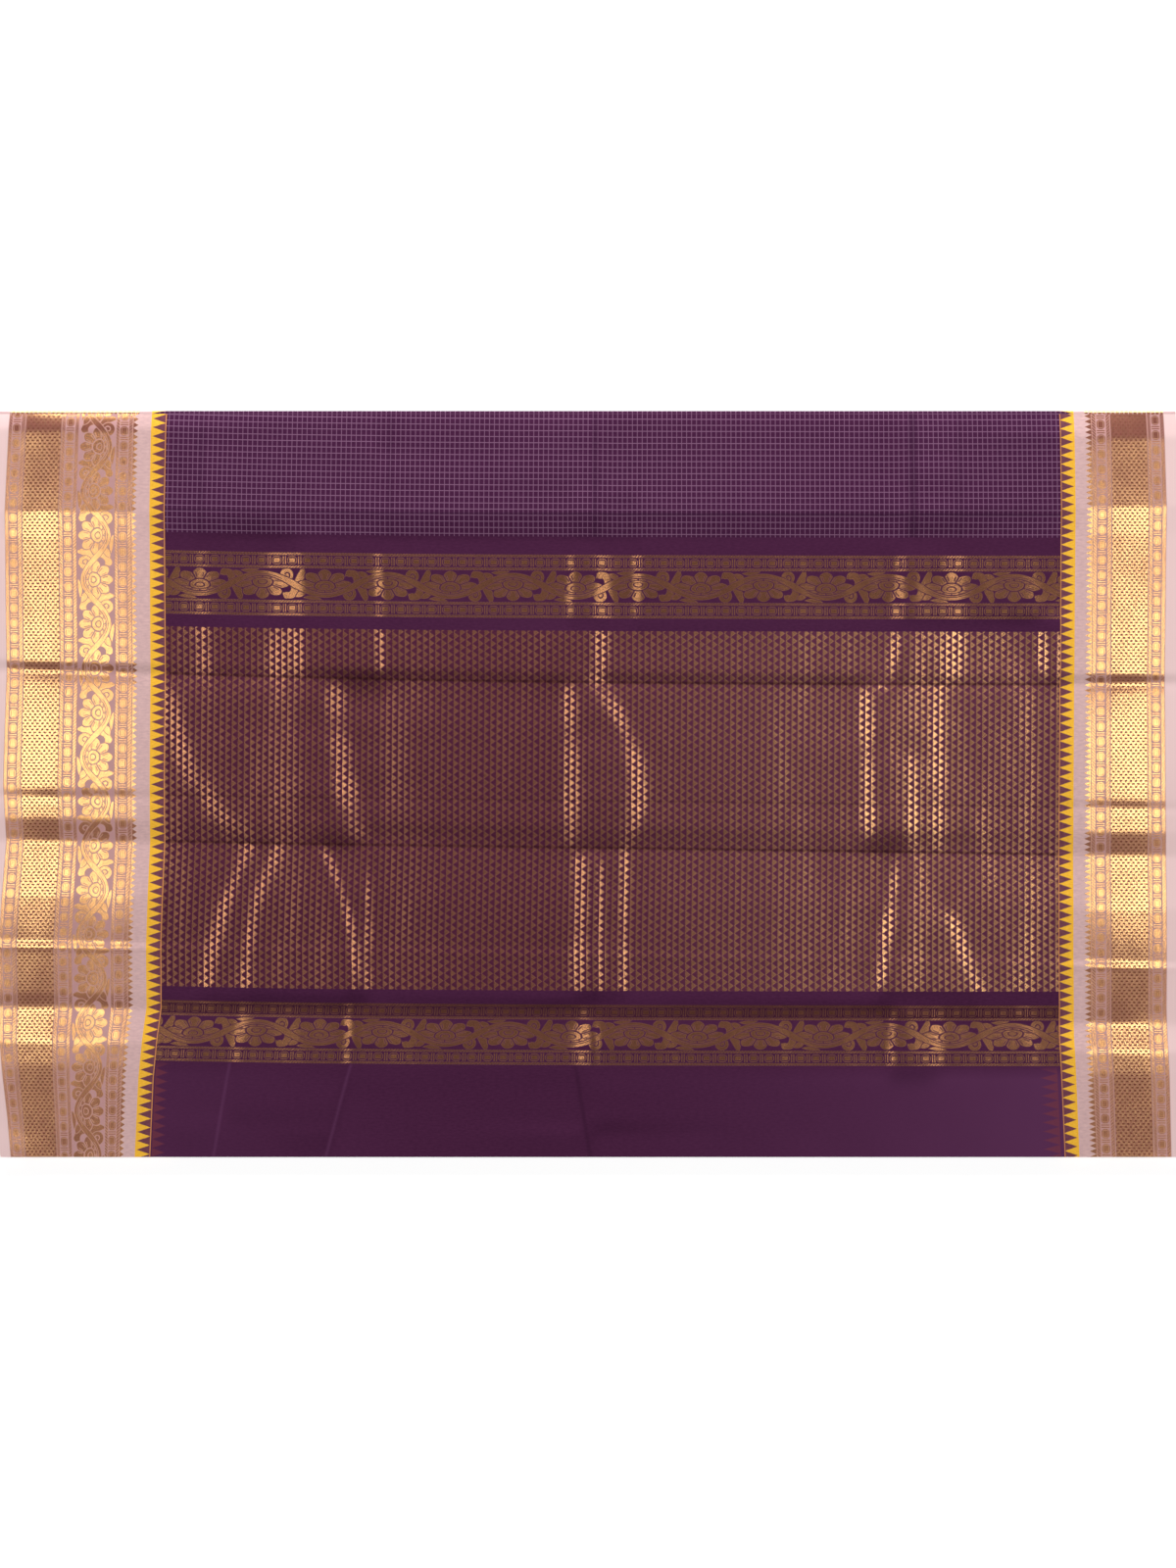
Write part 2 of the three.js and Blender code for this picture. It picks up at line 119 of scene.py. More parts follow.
# How far the cloth has slid sideways: a row for each Y, with the slide at its edges and the field's sides.
SLIDE_ROWS = np.array([
    # y, wide edge, wide side of the field, narrow side of the field, narrow edge
    (-381, 7, -17, 6, 6),
    (-340, 3, -15, 4, 5),
    (-300, -2, -13, 2, 4),
    (-260, -6, -9, 0, 2),
    (-228, -6, -5, 0, 1),
    (-162, -7, -5, -1, 1),
    (-58, 1, -1, -1, 0),
    (0, -2, -1, -1, -1),
    (116, 2, 0, 0, -2),
    (280, 0, -1, 1, 0),
    (381, 5, 1, 0, -3),
], float)

# The height of the cloth along its length, pressed into panels by its packing. Each row is a crease or a
# bend: its Y at the wide border's edge, in the middle and at the narrow edge, its height in the borders and
# in the field, and how far the panel in front of it swells up, between this crease and the next.
PANEL_ROWS = np.array([
    # y at the wide edge, in the middle, at the narrow edge, height in borders, in field, swell
    (381, 381, 381, 2.0, 2.0, 0.0),
    (373, 371, 368, 5.6, 4.4, 0.0),
    (363, 361, 354, 8.6, 5.2, 0.0),
    (280, 278, 285, 9.9, 9.8, 0.2),
    (275, 274, 281, 9.8, 9.6, 0.0),
    (252, 250, 256, 9.0, 5.6, 0.0),
    (127, 114, 112, 8.8, 7.4, 0.0),
    (117, 104, 103, 6.8, 4.8, 0.0),
    (107, 95, 94, 7.4, 5.3, 0.9),
    (-5, -10, -18, 7.2, 6.8, 0.0),
    (-13, -18, -26, 6.2, 6.4, 0.0),
    (-18, -24, -31, 6.5, 6.6, 0.0),
    (-34, -44, -50, 5.9, 6.0, 0.0),
    (-58, -66, -74, 3.0, 2.0, 0.0),
    (-67, -79, -87, 3.6, 2.9, 0.0),
    (-112, -120, -128, 6.1, 4.6, 0.2),
    (-162, -172, -185, 3.7, 3.6, 0.9),
    (-167, -177, -189, 4.3, 4.0, 0.0),
    (-214, -218, -226, 1.9, 3.2, 0.0),
    (-228, -237, -246, 0.4, 0.5, 0.0),
    (-262, -268, -274, 4.4, 3.6, 0.0),
    (-286, -292, -296, 4.0, 3.2, 0.0),
    (-381, -381, -381, 0.3, 0.3, 0.0),
], float)
PANEL_ROUNDNESS, ROUNDING_COPIES = 1.9, 9
# Where the borders' heights pass into the field's, and how low the cloth lies at its side edges.
PASS_FROM, PASS_TO, PASS_WIDTH = 150.0, 1115.0, 160.0
EDGE_SHARE, EDGE_REACH = 0.75, 60.0

# The long soft folds, that run along the cloth: where each starts at the back and ends at the front, its X
# at both ends and half way, how wide its steep side is and how far the cloth steps up or down there.
LONG_FOLDS = np.array([
    # back, front, x at back, half way and at front, half width, rise
    (330, 103, -398, -393, -392, 12.2, 3.2),
    (262, 103, -314, -316, -318, 19, 5.6),
    (250, 110, -296, -294, -292, 6.8, 1.9),
    (381, 103, -214, -212, -208, 6.8, -3.2),
    (300, 160, -16, -16, -17, 5.4, 2),
    (381, 103, 17, 18, 14, 12.2, -5),
    (290, 160, 51, 52, 50, 6.1, 2.4),
    (381, 103, 324, 322, 310, 10.8, 6.2),
    (381, 103, 377, 376, 373, 12.2, -3.2),
    (170, 100, 464, 466, 468, 14, 9),
    (96, -62, -428, -404, -348, 14, 2.9),
    (106, -62, -256, -250, -230, 21, -11),
    (102, -62, -17, -16, -15, 10.8, 4.5),
    (108, -66, 8, 50, 42, 12, -4.8),
    (100, -62, 286, 287, 289, 13, 7.2),
    (30, -66, 331, 332, 332, 6.1, -1.6),
    (100, -66, 358, 359, 358, 10.8, -3),
    (-62, -216, -343, -373, -391, 7.4, 1.9),
    (-62, -216, -313, -340, -348, 7.4, 2),
    (-60, -216, -272, -242, -238, 8.1, -4.1),
    (-76, -220, -223, -222, -222, 5.4, -2.6),
    (-70, -216, -6, -6, -6, 10.8, 4.5),
    (-70, -216, 14, 14, 14, 5.4, -2),
    (-70, -216, 39, 39, 38, 6.8, -2.6),
    (-68, -216, 318, 309, 298, 10.8, 6.1),
    (-130, -216, 368, 386, 402, 8.1, -2),
    (-230, -340, -350, -358, -366, 6.8, 1.8),
    (-215, -381, -243, -246, -262, 6.8, -3.4),
    (-228, -350, -3, -3, 0, 16, 6.7),
    (-240, -381, 10, 12, 12, 5.4, -2),
    (-228, -300, 312, 312, 310, 8.1, 4.3),
    (-228, -300, 358, 358, 356, 9.5, -2.4),
], float)
FOLD_STEEPNESS, FOLD_RELAXES, FOLD_END = 0.9, 105.0, 9.0
# Each fold's rise waxes and wanes along it: the lengths and the heights of the two waves.
FOLD_WAVES = ((17.0, 0.12), (7.3, 0.1))
# The long folds have died out where the borders' metallic threads begin.
FOLDS_FROM_WIDE, FOLDS_FROM_NARROW, FOLDS_DIE_OUT = 145.0, 100.0, 40.0

# Small uneven ripples that are left all over, each a slow wave: its two lengths, its turn and its height.
RIPPLE_ROWS = (
    (61.0, 240.0, 0.3, 0.12), (37.0, 150.0, 1.9, 0.07), (113.0, 310.0, 4.1, 0.3), (140.0, 92.0, 2.2, 0.1),
    (23.0, 97.0, 5.2, 0.04),
)
CORNER_RISE, CORNER_ACROSS, CORNER_ALONG = 1.2, 40.0, 30.0
# Folds and ripples die out towards the turn and the cloth's end, and nothing sinks into the layer below.
CALM_AT_REAR, CALM_AT_FRONT = 40.0, 25.0
LEAST_HEIGHT, LEAST_SOFTNESS = 0.1, 0.6


def smooth(part):
    """A share from 0 to 1 that starts and ends gently: three squares less two cubes."""
    part = np.clip(part, 0, 1)
    return part * part * (3 - 2 * part)


def weft_bow(across):
    """How far the weft bows back: most beside the wide border, dying out exponentially across the field."""
    return BOW_BACK * np.exp(-np.maximum(across - FIELD_FROM, 0.0) / BOW_DIES_OUT)


def sideways_slide(across, y):
    """The slide, straight between the rows of the table, and across between its four columns."""
    rows = [np.interp(y, SLIDE_ROWS[:, 0], SLIDE_ROWS[:, column]) for column in range(1, 5)]
    over_field = np.clip((across - WIDE_BORDER_WIDTH) / (FIELD_TO - WIDE_BORDER_WIDTH), 0, 1)
    wide = rows[0] + (rows[1] - rows[0]) * np.clip(across / WIDE_BORDER_WIDTH, 0, 1)
    field = rows[1] + (rows[2] - rows[1]) * over_field
    narrow = rows[2] + (rows[3] - rows[2]) * np.clip((across - FIELD_TO) / (CLOTH_WIDTH - FIELD_TO), 0, 1)
    return np.where(across < WIDE_BORDER_WIDTH, wide, np.where(across > FIELD_TO, narrow, field))


def panel_height(across, y):
    """The height of the panels: straight between the rows of the table, plus a parabola of the panel's
    swell, blurred along Y by the mean of shifted copies, and blended from the borders' heights to the
    field's."""
    part = across / CLOTH_WIDTH
    from_wide = np.clip((across - PASS_FROM) / PASS_WIDTH, 0, 1)
    inside = smooth(from_wide * np.clip((PASS_TO - across) / PASS_WIDTH, 0, 1))
    left, middle, right = (PANEL_ROWS[::-1, column] for column in range(3))
    border, field, swell = (PANEL_ROWS[::-1, column] for column in range(3, 6))
    height = np.zeros(np.broadcast(across, y).shape)
    shifts = np.linspace(-1, 1, ROUNDING_COPIES) * PANEL_ROUNDNESS
    last = len(left) - 2
    for crease in range(last + 1):
        ends = []
        for row in (crease, crease + 1):
            bend = left[row] + (right[row] - left[row]) * part
            ends.append(bend + (middle[row] - (left[row] + right[row]) / 2) * 4 * part * (1 - part))
        low = border[crease] + (field[crease] - border[crease]) * inside
        high = border[crease + 1] + (field[crease + 1] - border[crease + 1]) * inside
        for shift in shifts:
            share = (y + shift - ends[0]) / (ends[1] - ends[0])
            here = (share >= (0 if crease > 0 else -np.inf)) & (share < (1 if crease < last else np.inf))
            share = np.clip(share, 0, 1)
            bulge = swell[crease + 1] * 4 * share * (1 - share)
            height += np.where(here, low + (high - low) * share + bulge, 0) / len(shifts)
    return height


def long_fold_height(x, y):
    """The sum of the long folds: each a narrow tanh step less a wide one, fading at its two ends."""
    height = np.zeros(np.broadcast(x, y).shape)
    for back, front, x_back, x_middle, x_front, half_width, rise in LONG_FOLDS:
        part = np.clip((back - y) / (back - front), 0, 1)
        run = x_back * (1 - part) * (1 - 2 * part) + x_middle * 4 * part * (1 - part)
        run = run + x_front * part * (2 * part - 1)
        fade = (np.tanh((back - y) / FOLD_END) + 1) * (np.tanh((y - front) / FOLD_END) + 1) / 4
        step = np.tanh((x - run) / (half_width * FOLD_STEEPNESS)) - np.tanh((x - run) / FOLD_RELAXES)
        turns = (x_back, x_front)
        waves = sum(size * np.sin(y / length + turn) for (length, size), turn in zip(FOLD_WAVES, turns))
        height += rise * (1 + waves) / 2 * step * fade
    return height


def cloth_relief(across, x, y):
    """The height of the top layer over its rest: panels and folds, low along the cloth's side edges, with
    small ripples and one curled corner, and never through the layers under it."""
    settled = EDGE_SHARE + (1 - EDGE_SHARE) * smooth(np.minimum(across, CLOTH_WIDTH - across) / EDGE_REACH)
    ripples = sum(
        height * np.sin(2 * math.pi * x / length_x + turn + np.sin(2 * math.pi * y / length_y + 2 * turn))
        for length_x, length_y, turn, height in RIPPLE_ROWS
    )
    corner = np.exp(-((across / CORNER_ACROSS) ** 2) - ((y - FRONT) / CORNER_ALONG) ** 2)
    calm = np.clip((REAR - y) / CALM_AT_REAR, 0, 1) * np.clip((y - FRONT) / CALM_AT_FRONT, 0, 1)
    folds = long_fold_height(x, y) * smooth((across - FOLDS_FROM_WIDE) / FOLDS_DIE_OUT)
    folds = folds * smooth((CLOTH_WIDTH - FOLDS_FROM_NARROW - across) / FOLDS_DIE_OUT)
    height = panel_height(across, y) * settled + (folds + ripples) * calm + CORNER_RISE * corner
    return (height + LEAST_HEIGHT + np.sqrt((height - LEAST_HEIGHT) ** 2 + LEAST_SOFTNESS)) / 2


def cloth_face(across, along):
    """A point of the cloth's upper face from its weave coordinates: slid, bowed and lifted by the relief."""
    y = np.clip(along + weft_bow(across), FRONT, REAR_SEAM)
    x = across - CLOTH_WIDTH / 2 + sideways_slide(across, y)
    return x, y, FACE_REST + cloth_relief(across, x, y)


def closed_sheet(name, upper, lower, across, along):
    """A sheet from two grids of points, upper and lower, with a rim round them and its weave as a UV map."""
    rows, columns = across.shape
    count = rows * columns
    number = np.arange(count).reshape(rows, columns)
    a, b, c, d = number[:-1, :-1], number[1:, :-1], number[1:, 1:], number[:-1, 1:]
    faces = [np.stack([a, b, c, d], -1).reshape(-1, 4), count + np.stack([a, d, c, b], -1).reshape(-1, 4)]
    rim = np.concatenate([number[0, :-1], number[:-1, -1], number[-1, :0:-1], number[:0:-1, 0]])
    after = np.roll(rim, -1)
    faces.append(np.stack([rim, after, count + after, count + rim], -1))
    faces = np.concatenate(faces)
    points = np.concatenate([np.stack(grid, -1).reshape(-1, 3) for grid in (upper, lower)]) / 1000.0
    mesh = bpy.data.meshes.new(name)
    mesh.vertices.add(len(points))
    mesh.vertices.foreach_set("co", points.ravel())
    mesh.loops.add(faces.size)
    mesh.loops.foreach_set("vertex_index", faces.ravel())
    mesh.polygons.add(len(faces))
    mesh.polygons.foreach_set("loop_start", np.arange(0, faces.size, 4))
    mesh.polygons.foreach_set("use_smooth", np.ones(len(faces), bool))
    mesh.update(calc_edges=True)
    mesh.set_sharp_from_angle(angle=math.radians(60))
    weave = np.stack([across.ravel(), along.ravel()], -1) / 1000.0
    weave = np.concatenate([weave, weave])[faces.ravel()]
    mesh.uv_layers.new(name="weave").data.foreach_set("uv", weave.ravel())
    mesh.validate()
    piece = bpy.data.objects.new(name, mesh)
    bpy.context.collection.objects.link(piece)
    return piece


def woven_piece(name, strip, stretch):
    """One woven stretch of the top layer: rows of points between two wefts, on the cloth's face."""
    columns = round((strip[1] - strip[0]) / GRID_STEP) + 1
    rows = round((stretch[0] - stretch[1]) / GRID_STEP) + 1
    across = np.linspace(strip[0], strip[1], columns)[None, :] + np.zeros((rows, 1))
    bow = weft_bow(across)
    back = stretch[0] - (bow if stretch[0] == REAR_SEAM else 0)
    front = stretch[1] - (bow if stretch[1] == FRONT else 0)
    along = back + (front - back) * np.linspace(0, 1, rows)[:, None] + 0 * across
    x, y, z = cloth_face(across, along)
    return closed_sheet(name, (x, y, z), (x, y, z - SHELL), across, along)


class Thread:
    """One socket of a material. Sums, products and comparisons add the Math nodes that work them out."""

    def __init__(self, tree, socket):
        self.tree, self.socket = tree, socket

    def put(self, kind, settings, inputs, output=0):
        """Add a node of a kind: its settings are set first, then the values or links of its sockets."""
        node = self.tree.nodes.new(kind)
        for name, value in settings.items():
            setattr(node, name, value)
        for name, value in inputs.items():
            if isinstance(value, Thread):
                self.tree.links.new(value.socket, node.inputs[name])
            else:
                node.inputs[name].default_value = value
        return Thread(self.tree, node.outputs[output])

    def math(self, operation, *values, clamp=False):
        settings = {"operation": operation, "use_clamp": clamp}
        return self.put("ShaderNodeMath", settings, dict(enumerate(values)))

    def __add__(self, other):
        return self.math("ADD", self, other)

    def __sub__(self, other):
        return self.math("SUBTRACT", self, other)

    def __rsub__(self, other):
        return self.math("SUBTRACT", other, self)

    def __mul__(self, other):
        return self.math("MULTIPLY", self, other)

    def __truediv__(self, other):
        return self.math("DIVIDE", self, other)

    def __mod__(self, pitch):
        return self.math("FLOORED_MODULO", self, pitch)

    __radd__, __rmul__ = __add__, __mul__

    def size(self):
        return self.math("ABSOLUTE", self)

    def least(self, *others):
        for other in others:
            self = self.math("MINIMUM", self, other)
        return self

    def most(self, *others):
        for other in others:
            self = self.math("MAXIMUM", self, other)
        return self

    def edge(self, soft=0.35):
        """1 where the distance is well inside a shape, 0 outside, soft in between."""
        return self.math("MULTIPLY_ADD", self, 1.0 / soft, 0.5, clamp=True)

    def held(self):
        """The same value, kept between 0 and 1."""
        return self.math("MULTIPLY", self, 1.0, clamp=True)

    def length(self, other):
        """The length of a vector with this and the other as its two parts."""
        return self.math("SQRT", self * self + other * other)

    def blend(self, below, above):
        """The colour below where this is 0, and the colour above where it is 1."""
        settings = {"data_type": "RGBA", "blend_type": "MIX"}
        return self.put("ShaderNodeMix", settings, {0: self, 6: below, 7: above}, output=2)


def weave_of(material):
    """The weave coordinates of a material in millimetres: across and along, as two threads."""
    tree = material.node_tree
    start = Thread(tree, None).put("ShaderNodeUVMap", {"uv_map": "weave"}, {})
    across = start.put("ShaderNodeSeparateXYZ", {}, {0: start}, output=0) * 1000.0
    along = start.put("ShaderNodeSeparateXYZ", {}, {0: start}, output=1) * 1000.0
    return across, along


SLUB_STRETCH, SLUB_CONTRAST, SLUB_DETAIL = 0.35, 2.2, 3.0


def shade_of(light, dark, across, along, scale):
    """A colour that wanders between two, in short slubs that run along the weft."""
    place = across.put("ShaderNodeCombineXYZ", {}, {0: across * (scale * SLUB_STRETCH), 1: along * scale})
    slub = across.put("ShaderNodeTexNoise", {}, {"Vector": place, "Scale": 1.0, "Detail": SLUB_DETAIL})
    return ((slub - 0.5) * SLUB_CONTRAST + 0.5).held().blend(dark, light)


DULL_ROUGHNESS, WEAVE_SPECULAR = 0.85, 0.12
THREAD_PITCH, THREAD_METAL = 0.52, 0.96
SILK_RED, SILK_DARK = (0.5, 0.13, 0.14, 1), (0.26, 0.07, 0.07, 1)


def finish_weave(
    material, across, along, ground, metal=None, tone=None,
    warp=False, roundness=0.34, polish=0.25, silk=0.2, core=SILK_DARK,
):
    """A dull weave of the ground's colour, and where metal is 1, metallic threads of the given tone. These
    are round and lie side by side, so their normals tilt to and fro across the threads, along X for warp
    ones. The red silk that they are wound on shows in a share of their width."""
    tree = material.node_tree
    cloth = tree.nodes["Principled BSDF"]
    cloth.inputs["Specular IOR Level"].default_value = WEAVE_SPECULAR
    if metal is None:
        tree.links.new(ground.socket, cloth.inputs["Base Color"])
        cloth.inputs["Roughness"].default_value = DULL_ROUGHNESS
        return
    run = across if warp else along
    round_off = run.math("PINGPONG", run, THREAD_PITCH / 2) * (4 / THREAD_PITCH) - 1.0
    bare = (round_off.size() - (1.0 - silk)).edge(0.1)
    shine = metal * (1.0 - bare)
    colour = metal.blend(ground, bare.blend(tone, core))
    tree.links.new(colour.socket, cloth.inputs["Base Color"])
    tree.links.new((shine * THREAD_METAL).socket, cloth.inputs["Metallic"])
    dullness = DULL_ROUGHNESS - shine * (DULL_ROUGHNESS - polish)
    tree.links.new(dullness.socket, cloth.inputs["Roughness"])
    tilt = round_off * roundness * metal
    face = across.put("ShaderNodeNewGeometry", {}, {}, output=1)
    tilted = across.put("ShaderNodeCombineXYZ", {}, {0 if warp else 1: tilt})
    summed = face.put("ShaderNodeVectorMath", {"operation": "ADD"}, {0: face, 1: tilted})
    normal = face.put("ShaderNodeVectorMath", {"operation": "NORMALIZE"}, {0: summed})
    tree.links.new(normal.socket, cloth.inputs["Normal"])


def new_weave(name):
    material = bpy.data.materials.new(name)
    material.use_nodes = True
    return material, *weave_of(material)


def stripe(across, low, high):
    """How far inside a stripe between two distances a thread lies."""
    return (high - low) / 2 - (across - (high + low) / 2).size()


def centred(along, pitch, shift=0.0):
    """The distance along from the middle of the nearest repeat."""
    return (along + (shift + pitch / 2)) % pitch - pitch / 2


ROPE_TWIST, ROPE_CUT = 3.1, 0.4


def rope(across, along, low, high, lean=1.0):
    """A twisted rope: a stripe cut by thin slanting lines."""
    twist = centred(along + across * lean, ROPE_TWIST).size() - ROPE_CUT
    return stripe(across, low, high).least(twist)


ROUNDEL_SHARE, ROUNDEL_CORNER, ROUNDEL_CLEAR, RING_INSET = 0.32, 0.74, 0.3, 1.35
BAR_HALF, BAR_FROM_MIDDLE = 0.6, 1.15
MESH_COLUMN, MESH_ROW, MARK_ACROSS, MARK_ALONG = 5.1, 3.1, 1.2, 0.75


def roundel_chain(across, along, low, high, pitch, ring=0.5):
    """Eight-sided roundels, each with a ring cut in it, and a pair of bars between two of them."""
    a = centred(along, pitch).size()
    b = (across - (high + low) / 2).size()
    reach, height = pitch * ROUNDEL_SHARE, (high - low) / 2 - ROUNDEL_CLEAR
    roundel = (reach - a).least(height - b, (reach + height) * ROUNDEL_CORNER - (a + b))
    inside = roundel.least((roundel - RING_INSET).size() - ring)
    bars = (BAR_HALF - (a - (pitch / 2 - BAR_FROM_MIDDLE)).size()).least(height - b)
    return inside.most(bars)


def brick_mesh(across, along, low, high):
    """A solid stripe with rows of short dark marks, each row set off by half a repeat."""
    row = along.math("FLOOR", along / MESH_ROW + 0.5) % 2.0
    mark = centred(across + row * (MESH_COLUMN / 2), MESH_COLUMN).size() - MARK_ACROSS
    gap = centred(along, MESH_ROW).size() - MARK_ALONG
    return stripe(across, low, high).least(mark.most(gap))


def teeth(across, along, low, high, pitch):
    """A row of triangles with their bases at low and their tips at high."""
    part = (across - low) / (high - low)
    inside = (1.0 - part) * (pitch / 2) - centred(along, pitch).size()
    return inside.least(part * abs(high - low) + 0.3)


def flowering_vine(along, across, half_repeat, half_width):
    """A vine that swings from side to side once in two repeats, with a fan-shaped flower in each bend. Where
    it crosses the middle stand a curl, a hook, a branch and two leaves, each kept clear of the others by a
    thin line of the ground. Every other repeat is turned over. Places in it are shares of half a repeat and
    of half the width."""
    reach = half_repeat / 2
    middle = math.sqrt(reach * half_width)
    bend = along.math("FLOOR", along / half_repeat + 0.5)
    s = along - bend * half_repeat
    t = across * (1.0 - (bend % 2.0) * 2.0)
    crossing = along.math("FLOOR", along / half_repeat)
    run = along - (crossing + 0.5) * half_repeat
    off = across * (1.0 - (crossing % 2.0) * 2.0)

    def away_from(x, y):
        """The distance from a place beside the crossing."""
        return (run - x * reach).length(off - y * half_width)

    def blade(x, y, angle, half_length, half_thickness, bow=0.0):
        """A pointed blade about a place beside the crossing, turned by an angle and bowed."""
        dx, dy = run - x * reach, off - y * half_width
        down = dx * math.cos(angle) + dy * math.sin(angle)
        aside = dy * math.cos(angle) - dx * math.sin(angle) + down * down * bow
        return half_thickness - down * down * (half_thickness / half_length**2) - aside.size()

    x = s / reach
    from_stem = t - x.math("COSINE", x * (math.pi / 2)) * (-0.7 * half_width)
    thick = x * x * 1.6 + 2.3
    body = thick - from_stem.size()
    stem = body.least((from_stem - 0.9).size() - 0.25 + (x.size() - 0.6).most(0.0) * 8.0)

    rise = t + 0.16 * half_width
    fx = s / (0.86 * reach)
    fy = rise.most(0.0) / (1.08 * half_width) + rise.least(0.0) / (0.6 * half_width)
    radius = fx.length(fy)
    angle = fx.math("ARCTAN2", fx, fy)
    lobe = angle.math("COSINE", angle * 4.5).size()
    outline = (0.76 + lobe * 0.26 - radius) * (0.75 * middle)
    petals = (lobe * radius * (middle * 0.2) - 0.5).most((0.4 - radius) * middle)
    vein = (0.62 - lobe) * radius * (middle * 0.2)
    veins = (vein.size() - 0.2).most((radius - 0.78) * middle, (0.52 - radius) * middle)
    ring = (radius - 0.39).size() * (0.75 * middle) - 0.45
    heart = (radius - 0.17).size() * (0.75 * middle) - 0.35
    flower = outline.least(petals, veins, ring, heart, body * -1.0 - 0.7)
    free = (body * -1.0 - 0.6).least(outline * -1.0 - 0.9)

    curl_away = away_from(-0.22, -0.58)
    curl_turn = curl_away.math("ARCTAN2", off + 0.58 * half_width, run + 0.22 * reach) / (2 * math.pi)
    curl = (6.8 - curl_away).least((curl_away - (curl_turn * 3.0 + 3.0)).size() - 0.5)
    hook = (8.2 - away_from(-0.12, 0.42)).least(away_from(-0.24, 0.26) - 5.0)
    hook = hook.most(3.6 - away_from(-0.22, 0.72))
    branch = blade(0.24, -0.5, math.atan2(-0.9 * half_width, 0.26 * reach), 10.5, 4.0, 0.03)
    long_leaf = blade(0.62, 0.86, 0.12, 10.0, 2.1, -0.012)
    small_leaf = blade(0.24, 0.62, -0.5, 6.6, 3.0)
    clear = body * -1.0 - 0.5
    return stem.most(
        flower,
        curl.least(free),
        hook.least(free, small_leaf * -1.0 - 0.6),
        branch.least(free, curl_away - 7.4),
        long_leaf.least(clear),
        small_leaf.least(clear),
    )


MAUVE_OUTER = (0.8, 0.57, 0.56, 1)
MAUVE_INNER, MAUVE_INNER_DEEP = (0.7, 0.46, 0.44, 1), (0.56, 0.36, 0.36, 1)
ZARI_GROUND = (0.5, 0.27, 0.27, 1)
# The mesh's gaps: their own dark ground, deepened with painted shade.
MESH_GAP_GROUND_AND_SHADE = (0.17, 0.04, 0.035, 1)
ZARI_GOLD = (0.61, 0.37, 0.155, 1)
ZARI_DEEP = (0.58, 0.33, 0.115, 1)
# The borders' metallic threads: warp ones, their roundness, their polish, and the share and colour of silk.
BORDER_ZARI = (True, 0.28, 0.2, 0.3, SILK_RED)
# The rings cut in the borders' roundels are all but closed.
BORDER_RING = 0.15


def border_ground(across, along, zari_from, zari_to, mesh_from, mesh_to):
    """The mauve of the margins, paler at the outer one, the redder ground between the metallic threads, and
    the small gaps of the mesh, dark with their own ground and with painted shade."""
    plain = shade_of(MAUVE_INNER, MAUVE_INNER_DEEP, across, along, 0.5)
    outer = (across * -1.0 + (zari_from + 1)).edge(1.0).blend(plain, MAUVE_OUTER)
    # The gaps of the mesh get their ground darkened with painted shade.
    bed = stripe(across, mesh_from, mesh_to).edge(0.6).blend(ZARI_GROUND, MESH_GAP_GROUND_AND_SHADE)
    return stripe(across, zari_from - 0.3, zari_to + 0.3).edge(0.6).blend(outer, bed)


wide_weave, u, v = new_weave("wide_border_weave")
wide_gold = rope(u, v, 12.7, 16.0).most(
    roundel_chain(u, v - 5.0, 16.6, 25.0, 15.3, BORDER_RING),
    rope(u, v, 25.6, 29.6, -1.0),
    brick_mesh(u, v, 30.4, 67.6),
    rope(u, v, 68.2, 71.8),
    roundel_chain(u, v + 4.0, 72.6, 81.4, 15.3, BORDER_RING),
    rope(u, v, 82.2, 85.8, -1.0),
    flowering_vine(v - 21.5, u - 105.5, 45.2, 18.8).least(stripe(u, 86.9, 124.2)),
    rope(u, v, 125.2, 128.2),
    roundel_chain(u, v + 0.4, 128.8, 137.6, 15.4, BORDER_RING),
    rope(u, v, 138.2, 141.8, -1.0),
    teeth(u, v, 142.8, 147.8, 6.1),
)
wide_ground = border_ground(u, v, 12.5, 142.4, 30.4, 67.6)
wide_tone = stripe(u, 30.0, 68.0).edge(0.6).blend(ZARI_DEEP, ZARI_GOLD)
finish_weave(wide_weave, u, v, wide_ground, wide_gold.edge(), wide_tone, *BORDER_ZARI)

wide_border = woven_piece("wide_border_cloth", (0.0, WIDE_BORDER_WIDTH), (REAR_SEAM, FRONT))
wide_border.data.materials.append(wide_weave)
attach(wide_border, "root")
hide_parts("wide_border")

# The temple edges: a row of yellow triangles at each side of the field, their tips pointing into it,
# woven in dyed yarn where the border's warp and the field's weft are locked together.
TEMPLE_YELLOW, TEMPLE_YELLOW_DEEP = (0.93, 0.52, 0.05, 1), (0.8, 0.4, 0.03, 1)
TEMPLE_BROWN, TEMPLE_BROWN_DEEP = (0.19, 0.06, 0.085, 1), (0.12, 0.035, 0.055, 1)
TEMPLE_THREAD = (0.6, 0.24, 0.08, 1)
TEMPLE_PITCH, TEMPLE_SHIFT = 9.1, 1.8
NARROW_FROM = 1103.0
TEMPLE_STRIPS = (
    # piece, node, from and to across the cloth, base and tip of the triangles, the thin line at their tips
    ("wide_temple_cloth", "wide_temple_edge", WIDE_BORDER_WIDTH, FIELD_FROM, 162.4, 175.6, 176.0),
    ("narrow_temple_cloth", "narrow_temple_edge", FIELD_TO, NARROW_FROM, 1101.6, 1088.4, 1088.3),
)
